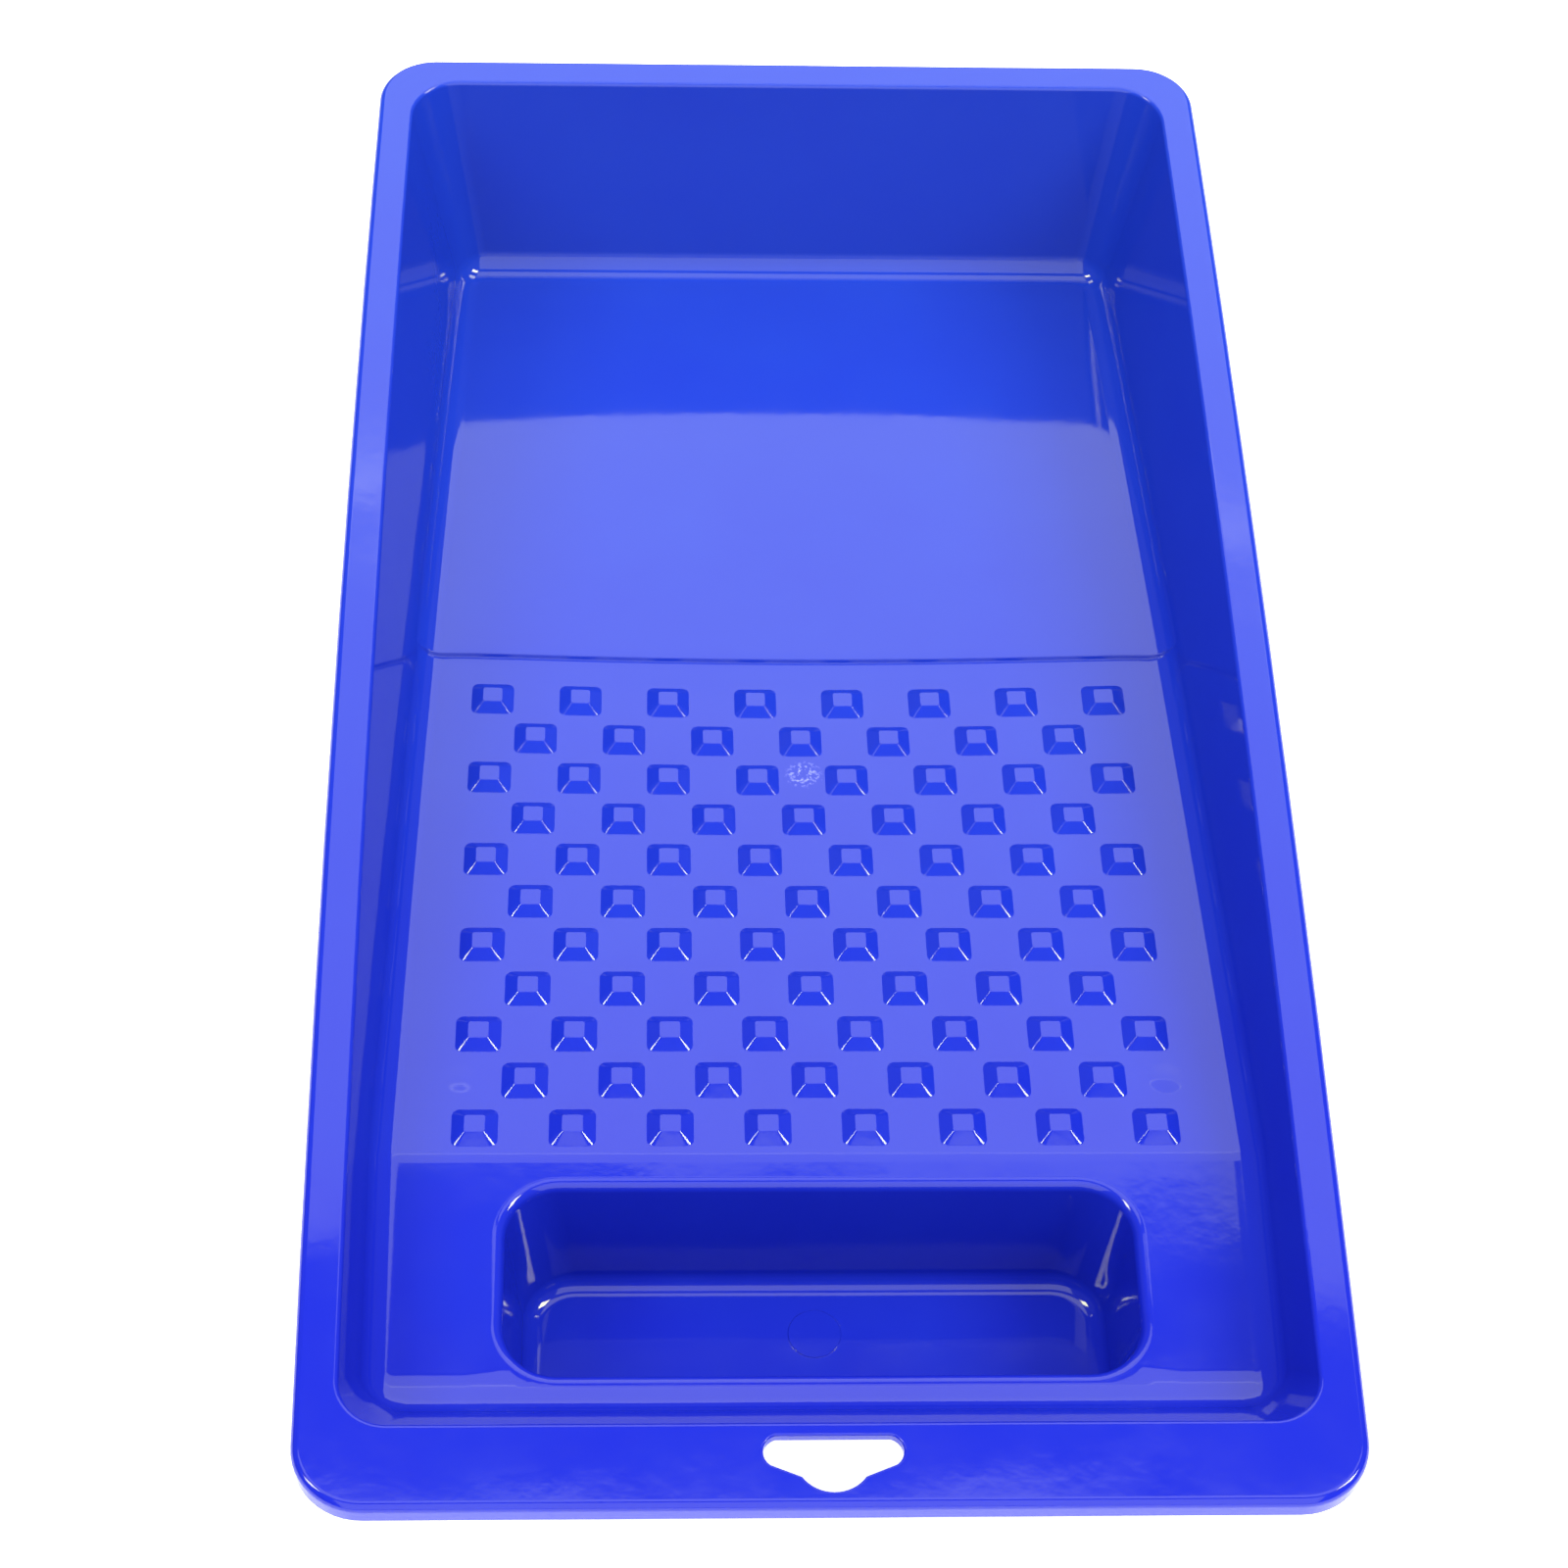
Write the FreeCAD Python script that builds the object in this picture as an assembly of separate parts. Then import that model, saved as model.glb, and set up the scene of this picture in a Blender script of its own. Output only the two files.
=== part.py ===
"""Paint roller tray for a mini roller: a deep well, a studded ramp and a small front trough.

The tray is one thin-walled moulding in glossy plastic. It is modelled as the natural regions of that
moulding (four rim strips, four outer walls, the floors, the trough's walls), each a closed solid that
meets its neighbours face to face.

Frame: millimetres, +Z up, X across the tray, +Y towards the deep well. The origin is on the surface that
the tray stands on, below the middle of the rim.
"""
import FreeCAD, Part
import math
import os

# Rim: a flat flange with rounded corners, a turned-down lip and gently bowed long sides.
LENGTH = 290.0
MID_WIDTH = 151.5
BOW = 1.25
HEIGHT = 41.0
WALL = 1.6
RIM_CORNER = 10.0
RIM_EDGE_ROUND = 1.3
LIP_DROP = 4.0
LIP_WALL = 1.4

# Opening: the line where the flange turns down into the walls.
OPENING_HALF_WIDTH = 69.5
OPENING_FAR = 138.6
OPENING_NEAR = -132.4
DRAFT = 11.0
NEAR_DRAFT = 33.5
NEAR_CORNER = 6.8
FAR_CORNER = 8.5
FAR_CORNER_LOW = 5.1
LOFT_BOTTOM = -10.0

# Floors: both slope down towards the far wall, and the ramp lies a step lower than the well's floor.
# The ledge round the trough is level.
SLOPE = 7.0
WELL_FLOOR_AT_ORIGIN = 17.2
STEP = 0.8
STEP_Y = 26.0
LANDING_Y = -81.5
FLOOR_FILLET = 4.5

# Plan lines where the flat floors end and the filleted walls begin.
FLOOR_HALF_WIDTH = 56.5
WELL_FLOOR_FAR = 126.0
LEDGE_NEAR = -120.0

# Where the side ledges of the trough end and the near ledge begins.
LEDGE_JOINT = -117.0

# Studs: low pyramids with flat tops in staggered rows, counted from the well.
STUD_ROWS = 11
STUDS_IN_LONG_ROW = 8
STUD_PITCH_X = 14.76
STUD_ROW_PITCH = 9.2
FIRST_ROW_Y = 15.9
STUD_BASE = 7.1
STUD_TOP = 3.1
STUD_HEIGHT = 1.2
STUD_CORNER_CUT = 0.3

# Trough: a steep-sided pocket that reaches down to the standing surface.
TROUGH_HALF_WIDTH = 44.2
TROUGH_FAR = -88.7
TROUGH_NEAR = -114.2
TROUGH_DRAFT = 6.0
TROUGH_CORNER = 8.0
TROUGH_FILLET = 3.0
TROUGH_LIP_ROUND = 1.5

# Hang hole in the near rim: straight inner side, round ends and a lobe towards the edge.
HOLE_Y = -134.3
HOLE_FLAT_HALF_WIDTH = 8.0
HOLE_HALF_WIDTH = 9.7
HOLE_WIDEST_DROP = 2.3
HOLE_SHOULDER_HALF_WIDTH = 8.7
HOLE_SHOULDER_DROP = 4.3
HOLE_LOBE_HALF_WIDTH = 4.4
HOLE_LOBE_DROP = 6.1
HOLE_DEPTH = 8.4

BIG = 400.0
TAN_DRAFT = math.tan(math.radians(DRAFT))
TAN_NEAR_DRAFT = math.tan(math.radians(NEAR_DRAFT))
TAN_SLOPE = math.tan(math.radians(SLOPE))
COS_SLOPE = math.cos(math.radians(SLOPE))


def vec(x, y, z=0.0):
    return FreeCAD.Vector(x, y, z)


def mirrored(point):
    """The same point on the other side of the plane X = 0."""
    return vec(-point.x, point.y, point.z)


def well_floor_z(y):
    """Top of the well's floor at y."""
    return WELL_FLOOR_AT_ORIGIN - TAN_SLOPE * y


def ramp_z(y):
    """Top of the ramp plate at y."""
    return well_floor_z(y) - STEP


def bowed_x(half_width, y):
    """Half-width at y of a long side that bows outwards in the middle."""
    return half_width - BOW * (2.0 * y / LENGTH) ** 2


def bowed_wire(half_width, y_near, y_far, z):
    """Closed wire: straight short sides, arcs for the bowed long sides."""
    near_x = bowed_x(half_width, y_near)
    far_x = bowed_x(half_width, y_far)
    near_right = vec(near_x, y_near, z)
    far_right = vec(far_x, y_far, z)
    far_left = vec(-far_x, y_far, z)
    near_left = vec(-near_x, y_near, z)
    right = Part.Arc(near_right, vec(half_width, 0, z), far_right).toShape()
    left = Part.Arc(far_left, vec(-half_width, 0, z), near_left).toShape()
    near = Part.makeLine(near_left, near_right)
    far = Part.makeLine(far_right, far_left)
    return Part.Wire([near, right, far, left])


def prism(points, z_low, z_high):
    """Upright prism on a polygon given as (x, y) points."""
    corners = [vec(x, y, z_low) for x, y in points]
    face = Part.Face(Part.makePolygon(corners + corners[:1]))
    return face.extrude(vec(0, 0, z_high - z_low))


def block(x_low, x_high, y_low, y_high, z_low=-BIG, z_high=BIG):
    return Part.makeBox(x_high - x_low, y_high - y_low, z_high - z_low, vec(x_low, y_low, z_low))


def above_plane(z_at_origin, fall):
    """Everything above the plane through z_at_origin that falls so much for each unit of y."""
    z_near = z_at_origin + fall * BIG
    z_far = z_at_origin - fall * BIG
    side = Part.makePolygon([
        vec(-BIG, -BIG, z_near),
        vec(-BIG, BIG, z_far),
        vec(-BIG, BIG, BIG),
        vec(-BIG, -BIG, BIG),
        vec(-BIG, -BIG, z_near),
    ])
    return Part.Face(side).extrude(vec(2 * BIG, 0, 0))


def upright_edges(shape, rise=5.0):
    """Edges that climb from one end to the other."""
    found = []
    for edge in shape.Edges:
        low, high = sorted(vertex.Z for vertex in edge.Vertexes)
        run = edge.Vertexes[0].Point.distanceToPoint(edge.Vertexes[-1].Point)
        if high - low > rise and run < 1.3 * (high - low):
            found.append(edge)
    return found


def edges_on(shape, height_at):
    """Edges that lie wholly on the surface z = height_at(y)."""
    found = []
    for edge in shape.Edges:
        points = [vertex.Point for vertex in edge.Vertexes]
        points.append(edge.valueAt(0.5 * (edge.FirstParameter + edge.LastParameter)))
        if all(abs(point.z - height_at(point.y)) < 1e-3 for point in points):
            found.append(edge)
    return found


def basin(grow, floor_at_origin, fall=TAN_SLOPE):
    """The tray's drafted inside, or with grow = WALL its outside, down to one flat floor."""
    inset = (HEIGHT - LOFT_BOTTOM) * TAN_DRAFT
    near_inset = (HEIGHT - LOFT_BOTTOM) * TAN_NEAR_DRAFT
    top_wire = bowed_wire(OPENING_HALF_WIDTH + grow, OPENING_NEAR - grow, OPENING_FAR + grow, HEIGHT)
    bottom_wire = bowed_wire(
        OPENING_HALF_WIDTH + grow - inset,
        OPENING_NEAR - grow + near_inset,
        OPENING_FAR + grow - inset,
        LOFT_BOTTOM,
    )
    solid = Part.makeLoft([bottom_wire, top_wire], True, True)
    far_edges = [edge for edge in upright_edges(solid) if edge.CenterOfMass.y > 0]
    solid = solid.makeFillet(FAR_CORNER_LOW + grow, FAR_CORNER + grow, far_edges)
    near_edges = [edge for edge in upright_edges(solid) if edge.CenterOfMass.y < 0]
    solid = solid.makeFillet(NEAR_CORNER + grow, near_edges)
    level = floor_at_origin - grow * math.hypot(1.0, fall)
    solid = solid.common(above_plane(level, fall))
    foot = edges_on(solid, lambda y: level - fall * y)
    return solid.makeFillet(FLOOR_FILLET + grow, foot)


def stepped_basin(grow):
    """Basin in three lengths: over the well's floor, over the ramp and over the level ledge."""
    well = basin(grow, well_floor_z(0)).common(block(-BIG, BIG, STEP_Y, BIG))
    ramp = basin(grow, ramp_z(0)).common(block(-BIG, BIG, LANDING_Y, STEP_Y))
    landing = basin(grow, ramp_z(LANDING_Y), 0.0).common(block(-BIG, BIG, -BIG, LANDING_Y))
    return well, ramp, landing


def trough_block(grow):
    """The trough's drafted inside, or with grow = WALL its outside, up past the ramp."""
    low = WALL - grow
    rise = HEIGHT - low
    slant = rise * math.tan(math.radians(TROUGH_DRAFT))
    wires = []
    for z, out in ((low, grow), (HEIGHT, grow + slant)):
        half = TROUGH_HALF_WIDTH + out
        wires.append(Part.makePolygon([
            vec(-half, TROUGH_NEAR - out, z),
            vec(half, TROUGH_NEAR - out, z),
            vec(half, TROUGH_FAR + out, z),
            vec(-half, TROUGH_FAR + out, z),
            vec(-half, TROUGH_NEAR - out, z),
        ]))
    solid = Part.makeLoft(wires, True, True)
    solid = solid.makeFillet(TROUGH_CORNER + grow, upright_edges(solid))
    return solid.makeFillet(TROUGH_FILLET + grow, edges_on(solid, lambda y: low))


def flange_block(half_width, y_near, y_far, z_low, z_high, corner):
    """Upright block with bowed long sides and rounded corners."""
    base = Part.Face(bowed_wire(half_width, y_near, y_far, z_low))
    solid = base.extrude(vec(0, 0, z_high - z_low))
    return solid.makeFillet(corner, upright_edges(solid, rise=0.5 * (z_high - z_low)))


def hang_hole():
    """Cutter for the hang hole, symmetric about X = 0."""
    z = HEIGHT - 2 * LIP_DROP
    flat = vec(HOLE_FLAT_HALF_WIDTH, HOLE_Y, z)
    widest = vec(HOLE_HALF_WIDTH, HOLE_Y - HOLE_WIDEST_DROP, z)
    shoulder = vec(HOLE_SHOULDER_HALF_WIDTH, HOLE_Y - HOLE_SHOULDER_DROP, z)
    lobe = vec(HOLE_LOBE_HALF_WIDTH, HOLE_Y - HOLE_LOBE_DROP, z)
    foot = vec(0, HOLE_Y - HOLE_DEPTH, z)
    edges = [
        Part.makeLine(mirrored(flat), flat),
        Part.Arc(flat, widest, shoulder).toShape(),
        Part.makeLine(shoulder, lobe),
        Part.Arc(lobe, foot, mirrored(lobe)).toShape(),
        Part.makeLine(mirrored(lobe), mirrored(shoulder)),
        Part.Arc(mirrored(shoulder), mirrored(widest), mirrored(flat)).toShape(),
    ]
    return Part.Face(Part.Wire(edges)).extrude(vec(0, 0, 4 * LIP_DROP))


def mitred_sides(near_y, far_y, half_width, reach):
    """Four prisms that share a rectangular frame between them, with 45 degree joints at its corners."""
    corners = {
        "near_left": (-half_width, near_y, -1, -1),
        "near_right": (half_width, near_y, 1, -1),
        "far_right": (half_width, far_y, 1, 1),
        "far_left": (-half_width, far_y, -1, 1),
    }
    sides = {
        "near": ("near_left", "near_right"),
        "right": ("near_right", "far_right"),
        "far": ("far_right", "far_left"),
        "left": ("far_left", "near_left"),
    }
    regions = {}
    for side, (first, second) in sides.items():
        x1, y1, sx1, sy1 = corners[first]
        x2, y2, sx2, sy2 = corners[second]
        regions[side] = prism([
            (x1 - sx1 * reach, y1 - sy1 * reach),
            (x1 + sx1 * reach, y1 + sy1 * reach),
            (x2 + sx2 * reach, y2 + sy2 * reach),
            (x2 - sx2 * reach, y2 - sy2 * reach),
        ], -BIG, BIG)
    return regions


def rim(opening):
    """Flange with its turned-down lip, before it is divided."""
    half = MID_WIDTH / 2
    end = LENGTH / 2
    outside = flange_block(half, -end, end, HEIGHT - LIP_DROP, HEIGHT, RIM_CORNER)
    outside = outside.makeFillet(RIM_EDGE_ROUND, edges_on(outside, lambda y: HEIGHT))
    channel = flange_block(
        half - LIP_WALL,
        -end + LIP_WALL,
        end - LIP_WALL,
        HEIGHT - 2 * LIP_DROP,
        HEIGHT - WALL,
        RIM_CORNER - LIP_WALL,
    )
    return outside.cut(channel).cut(opening).cut(hang_hole())


def stud():
    """One stud standing on the plane z = 0, with its upright corners cut off."""
    wires = []
    for z, width in ((0.0, STUD_BASE), (STUD_HEIGHT, STUD_TOP)):
        half = width / 2
        side = half * (1 - STUD_CORNER_CUT)
        outline = [(half, -side), (half, side), (side, half), (-side, half)]
        outline += [(-x, -y) for x, y in outline]
        corners = [vec(x, y, z) for x, y in outline]
        wires.append(Part.makePolygon(corners + corners[:1]))
    return Part.makeLoft(wires, True, True)


def studs():
    """All studs, in staggered rows along the ramp."""
    tilt = FreeCAD.Rotation(vec(1, 0, 0), -SLOPE)
    pattern = stud()
    made = []
    for row in range(STUD_ROWS):
        count = STUDS_IN_LONG_ROW - row % 2
        y = FIRST_ROW_Y - row * STUD_ROW_PITCH * COS_SLOPE
        for column in range(count):
            x = (column - (count - 1) / 2) * STUD_PITCH_X
            copy = pattern.copy()
            copy.Placement = FreeCAD.Placement(vec(x, y, ramp_z(y)), tilt)
            made.append(copy)
    return made


def rim_nodes(opening):
    """The four strips of the rim."""
    whole = rim(opening)
    corner_x = bowed_x(OPENING_HALF_WIDTH, OPENING_FAR)
    regions = mitred_sides(OPENING_NEAR, OPENING_FAR, corner_x, 25.0)
    return {"rim_" + side: whole.common(region) for side, region in regions.items()}


def wall_nodes(upper, landing, floors):
    """The outer walls, each with the fillet at its foot. The near wall goes round the level ledge."""
    corner_x = bowed_x(OPENING_HALF_WIDTH, OPENING_FAR)
    regions = mitred_sides(OPENING_NEAR, OPENING_FAR, corner_x, 25.0)
    walls = upper.cut(floors)
    nodes = {side + "_wall": walls.common(regions[side]) for side in ("far", "left", "right")}
    nodes["near_wall"] = landing.cut(floors)
    return nodes


def ledge_nodes(ledge):
    """The level ledge round the trough in three parts."""
    return {
        "left_ledge": ledge.common(block(-BIG, 0, LEDGE_JOINT, BIG)),
        "right_ledge": ledge.common(block(0, BIG, LEDGE_JOINT, BIG)),
        "near_ledge": ledge.common(block(-BIG, BIG, -BIG, LEDGE_JOINT)),
    }


def trough_nodes(outside):
    """The trough's floor and its four walls, each with the fillet at its foot."""
    shell = outside.cut(trough_block(0.0)).cut(above_plane(ramp_z(LANDING_Y), 0.0))
    top = [face for face in shell.Faces if len(face.Wires) == 2]
    mouth = min(top[0].Wires, key=lambda wire: wire.Length)
    shell = shell.makeFillet(TROUGH_LIP_ROUND, mouth.Edges)
    floor = block(
        TROUGH_FILLET - TROUGH_HALF_WIDTH,
        TROUGH_HALF_WIDTH - TROUGH_FILLET,
        TROUGH_NEAR + TROUGH_FILLET,
        TROUGH_FAR - TROUGH_FILLET,
    )
    regions = mitred_sides(TROUGH_NEAR, TROUGH_FAR, TROUGH_HALF_WIDTH, 12.0)
    walls = shell.cut(floor)
    nodes = {"trough_" + side + "_wall": walls.common(region) for side, region in regions.items()}
    nodes["trough_floor"] = shell.common(floor)
    return nodes


def build():
    """All nodes by name."""
    insides = stepped_basin(0.0)
    outsides = stepped_basin(WALL)
    opening = insides[0].multiFuse(insides[1:])
    under_flange = block(-BIG, BIG, -BIG, BIG, -BIG, HEIGHT - WALL)
    trough_outside = trough_block(WALL)
    well, ramp, landing = [outside.cut(opening).common(under_flange) for outside in outsides]
    landing = landing.cut(trough_outside)
    floors = block(-FLOOR_HALF_WIDTH, FLOOR_HALF_WIDTH, LEDGE_NEAR, WELL_FLOOR_FAR)

    nodes = rim_nodes(opening)
    nodes.update(wall_nodes(well.fuse(ramp), landing, floors))
    nodes["well_floor"] = well.common(floors)
    nodes["ramp_plate"] = ramp.common(floors).multiFuse(studs())
    nodes.update(ledge_nodes(landing.common(floors)))
    nodes.update(trough_nodes(trough_outside))
    return nodes


if __name__ == "__main__":
    os.makedirs("parts", exist_ok=True)
    for name, shape in build().items():
        print(name, shape.isValid(), len(shape.Solids), round(shape.Volume))
        shape.exportStep("parts/" + name + ".step")
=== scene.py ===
"""Paint roller tray in glossy blue plastic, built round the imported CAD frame.

The tray is one thin moulding, so its inside and underside are worked out as one skin with exact normals.
The skin is then divided into closed pieces, one for each CAD node, that share their edges: no seam shows.
Lengths are millimetres until a piece is made. X is across, +Y towards the deep well, +Z up.
"""

import math
from collections import namedtuple

import bpy
import numpy as np
from mathutils import Matrix, Vector


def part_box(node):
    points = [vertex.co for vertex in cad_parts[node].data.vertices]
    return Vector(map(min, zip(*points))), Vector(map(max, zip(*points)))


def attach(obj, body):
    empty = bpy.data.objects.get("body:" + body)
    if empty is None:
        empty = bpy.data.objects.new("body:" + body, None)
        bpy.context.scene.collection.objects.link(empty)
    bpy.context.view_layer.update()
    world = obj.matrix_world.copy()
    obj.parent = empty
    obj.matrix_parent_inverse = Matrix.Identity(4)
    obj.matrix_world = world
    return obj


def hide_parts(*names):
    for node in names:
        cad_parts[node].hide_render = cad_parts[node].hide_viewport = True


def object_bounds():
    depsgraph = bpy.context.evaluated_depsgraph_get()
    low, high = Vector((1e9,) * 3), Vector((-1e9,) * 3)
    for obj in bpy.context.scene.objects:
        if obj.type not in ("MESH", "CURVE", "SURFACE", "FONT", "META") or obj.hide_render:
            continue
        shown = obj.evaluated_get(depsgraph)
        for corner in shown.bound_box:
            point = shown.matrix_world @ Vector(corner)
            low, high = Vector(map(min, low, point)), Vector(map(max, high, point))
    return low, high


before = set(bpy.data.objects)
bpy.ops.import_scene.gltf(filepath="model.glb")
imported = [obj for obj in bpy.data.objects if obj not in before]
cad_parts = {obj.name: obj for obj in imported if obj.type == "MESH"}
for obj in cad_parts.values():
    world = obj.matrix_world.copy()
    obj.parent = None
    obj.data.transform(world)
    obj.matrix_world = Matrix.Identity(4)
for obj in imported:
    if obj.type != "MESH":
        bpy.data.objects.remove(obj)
CAD_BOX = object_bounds()
MM = 1000.0


def node_box(name):
    """Lowest and highest corner of a CAD node in millimetres."""
    low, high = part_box(name)
    return low * MM, high * MM


# Slopes: both floors fall towards the far wall, and all walls lean outwards.
SLOPE = math.radians(7.0)
TAN_SLOPE = math.tan(SLOPE)
DRAFT = math.tan(math.radians(11.0))
NEAR_DRAFT = math.tan(math.radians(33.5))
TROUGH_DRAFT = math.tan(math.radians(6.0))

# Rim, from the CAD frame.
OUT_X = CAD_BOX[1].x * MM
OUT_Y = CAD_BOX[1].y * MM
HEIGHT = CAD_BOX[1].z * MM
LIP_Z = node_box("rim_far")[0].z
WALL = HEIGHT - node_box("far_wall")[1].z
LIP_WALL = 1.4
RIM_CORNER = 10.0
RIM_EDGE = 1.3
RIM_EDGE_UNDER = 0.4
LIP_FOOT = 0.5
LIP_FOOT_UNDER = 0.3

# The long sides bow outwards. The bow fades in over BOW_FADE, from BOW_START outwards.
BOW = 1.25
BOW_START = 50.0
BOW_FADE = 16.0

# Opening of the tray and its wall corners.
OPEN_HALF = node_box("right_wall")[1].x - WALL * (1 - DRAFT)
OPEN_FAR = node_box("far_wall")[1].y - WALL * (1 - DRAFT)
OPEN_NEAR = node_box("near_wall")[0].y + WALL * (1 - NEAR_DRAFT)
NEAR_CORNER = 6.8
FAR_CORNER = 8.5
FAR_CORNER_FLARE = 0.0667
INNER_EDGE = 0.8
UNDER_EDGE = 0.1

# Floors: the studded ramp plate lies a small step below the well's floor. The ledge round the trough is
# almost level: it sinks a little towards the near end and tips up just before the near wall.
STEP_Y = node_box("well_floor")[0].y
LANDING_Y = node_box("left_ledge")[1].y
LANDING_Z = node_box("left_ledge")[1].z
RAMP_LEVEL = LANDING_Z + TAN_SLOPE * LANDING_Y
LEDGE_SINK = 0.015
TIP_Y = -118.6
TIP = math.radians(9.0)
STEP = node_box("well_floor")[1].z + TAN_SLOPE * STEP_Y - RAMP_LEVEL
STEP_RUN = 0.5
FLOOR_FILLET = 4.5

# The floor sags most beside the step and comes level towards the walls.
SAG = 1.5
SAG_HALF = 57.0
SAG_MIDDLE = 20.0
SAG_NEAR_REACH = 62.0
SAG_FAR_REACH = 95.0

# Studs: low pyramids with flat tops, in staggered rows counted from the well.
STUD_ROWS = 11
STUD_PITCH_X = 14.76
STUD_PITCH_Y = 9.2 * math.cos(SLOPE)
FIRST_ROW_Y = STEP_Y - 10.1
STUD_BASE = 3.55
STUD_TOP = 1.6
STUD_HEIGHT = 1.2
STUD_FOOT = 0.35
STUD_CREST = 0.35
STUD_BASE_CORNER = 1.2
STUD_TOP_CORNER = 0.4

# Trough.
TROUGH_FILLET = 3.0
TROUGH_HALF = node_box("trough_floor")[1].x + TROUGH_FILLET
TROUGH_FAR = node_box("trough_floor")[1].y + TROUGH_FILLET
TROUGH_NEAR = node_box("trough_floor")[0].y - TROUGH_FILLET
TROUGH_CORNER = 8.0
TROUGH_LIP = 1.8
TROUGH_LIP_UNDER = 0.4
TROUGH_MARGIN = 0.2

# Hang hole in the near rim: straight inner side, round ends and a lobe towards the edge.
HOLE_Y = OPEN_NEAR - 1.9
HOLE_EDGE = 0.35

# Small marks of the moulding: the ejector's ring in the trough and two faint blisters beside the studs,
# each as x, y, radius and rise, and the place of the gate.
EJECTOR = (0.0, -97.6, 4.05, 0.12)
BLISTERS = ((54.1, -66.0, 3.3, 0.26), (-54.1, -66.0, 3.1, 0.1))
GATE = (0.3, -1.0)

# Slow unevenness of the moulded surface.
RIPPLE = 0.05
RIPPLE_WAVES = (
    ((0.21, 0.09, 0.05), 0.4),
    ((-0.08, 0.17, 0.11), 2.1),
    ((0.11, -0.26, 0.07), 4.4),
)

# Plan lines of the mesh.
HALF_PITCH = STUD_PITCH_X / 4
LATTICE_X = [HALF_PITCH * i for i in range(-15, 16)]
HOLE_X = [HALF_PITCH * i for i in range(-3, 4)]
SIDE_LINE = 56.2
FLOOR_X = [-SIDE_LINE] + LATTICE_X + [SIDE_LINE]
LATTICE_TOP = FIRST_ROW_Y + STUD_PITCH_Y / 2
LATTICE_Y = [LATTICE_TOP - STUD_PITCH_Y / 2 * i for i in range(2 * STUD_ROWS, -1, -1)]
LEDGE_NEAR_Y = -119.15
LEDGE_FAR_Y = -82.0
TROUGH_ROWS = [-105.4, -103.5, -101.5, -99.5, -97.7]
LEDGE_ROWS = [LEDGE_NEAR_Y, -116.5, -112.5, -109.0] + TROUGH_ROWS + [-94.0, -90.0, -86.0, LEDGE_FAR_Y]
STEP_ROWS = [23.5] + [STEP_Y + STEP_RUN * (i / 6 - 0.5) for i in range(7)]
WELL_ROWS = [28.5, 32.0] + [38.0 + 6.0 * i for i in range(15)] + [124.5]
FLOOR_Y = LEDGE_ROWS + LATTICE_Y + STEP_ROWS + WELL_ROWS

SIDES = ("right", "far", "left", "near")
CORNER_STEP = 7.5
FLOOR_UP = np.array([0.0, math.sin(SLOPE), math.cos(SLOPE)])
TIP_UP = np.array([0.0, math.sin(TIP), math.cos(TIP)])
UP = np.array([0.0, 0.0, 1.0])
LEDGE_UP = np.array([0.0, -math.sin(LEDGE_SINK), math.cos(LEDGE_SINK)])

Station = namedtuple("Station", "side kind at nx ny sx sy key")


# ---------------------------------------------------------------- surfaces


def unit(v):
    return v / np.linalg.norm(v)


def smooth(t):
    t = min(1.0, max(0.0, t))
    return t * t * (3 - 2 * t)


def step_share(y):
    """0 on the ramp plate, 1 on the well's floor."""
    return smooth((y - STEP_Y) / STEP_RUN + 0.5)


def sag(x, y):
    """How far the middle of the thin floor hangs below its plane."""
    across = max(0.0, 1 - (x / SAG_HALF) ** 2) ** 1.3
    if y < SAG_MIDDLE:
        along = max(0.0, (y - SAG_MIDDLE + SAG_NEAR_REACH) / SAG_NEAR_REACH) ** 1.3
    else:
        along = math.cos(math.pi / 2 * min(1.0, (y - SAG_MIDDLE) / SAG_FAR_REACH)) ** 2
    return SAG * across * along


def floor_level(y):
    """Height of the floors at y, without the sag."""
    if y < LANDING_Y:
        ledge = LANDING_Z - LEDGE_SINK * (LANDING_Y - max(y, TIP_Y))
        return ledge + math.tan(TIP) * max(0.0, TIP_Y - y)
    return RAMP_LEVEL + STEP * step_share(y) - TAN_SLOPE * y


def floor_up(y):
    """Normal of the floors at y, without the sag and the step."""
    if y >= LANDING_Y:
        return FLOOR_UP
    return TIP_UP if y < TIP_Y else LEDGE_UP


def floor_z(x, y):
    return floor_level(y) - sag(x, y)


def floor_normal(x, y):
    e = 0.01
    dx = (floor_z(x + e, y) - floor_z(x - e, y)) / (2 * e)
    dy = (floor_z(x, y + e) - floor_z(x, y - e)) / (2 * e)
    return unit(np.array([-dx, -dy, 1.0]))


def trough_z(x, y):
    return WALL


def trough_normal(x, y):
    return UP


def bowed(point, normal):
    """The long sides of the tray bow outwards in the middle, so they draw in towards the ends."""
    x, y, z = point

    def share_at(out):
        return smooth((out - BOW_START) / BOW_FADE)

    share = share_at(abs(x))
    e = 0.01
    slope = (share_at(abs(x) + e) - share_at(abs(x) - e)) / (2 * e)
    pull = BOW * (y / OUT_Y) ** 2
    turn = -math.copysign(1.0, x) * share * 2 * BOW * y / OUT_Y ** 2
    stretch = 1 - pull * slope
    moved = np.array([x - math.copysign(1.0, x) * share * pull, y, z])
    turned = np.array([normal[0] / stretch, normal[1] - normal[0] * turn / stretch, normal[2]])
    return moved, unit(turned)


def rippled(point, normal):
    """Sinks a point slightly into the material by a slow wave."""
    value = 0.0
    slope = np.zeros(3)
    for wave, phase in RIPPLE_WAVES:
        wave = np.array(wave)
        angle = wave @ point + phase
        value += math.sin(angle) / len(RIPPLE_WAVES)
        slope += math.cos(angle) * wave / len(RIPPLE_WAVES)
    slope *= RIPPLE / 2
    slope -= (slope @ normal) * normal
    return point + normal * RIPPLE * (value - 1) / 2, unit(normal - slope)


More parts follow.
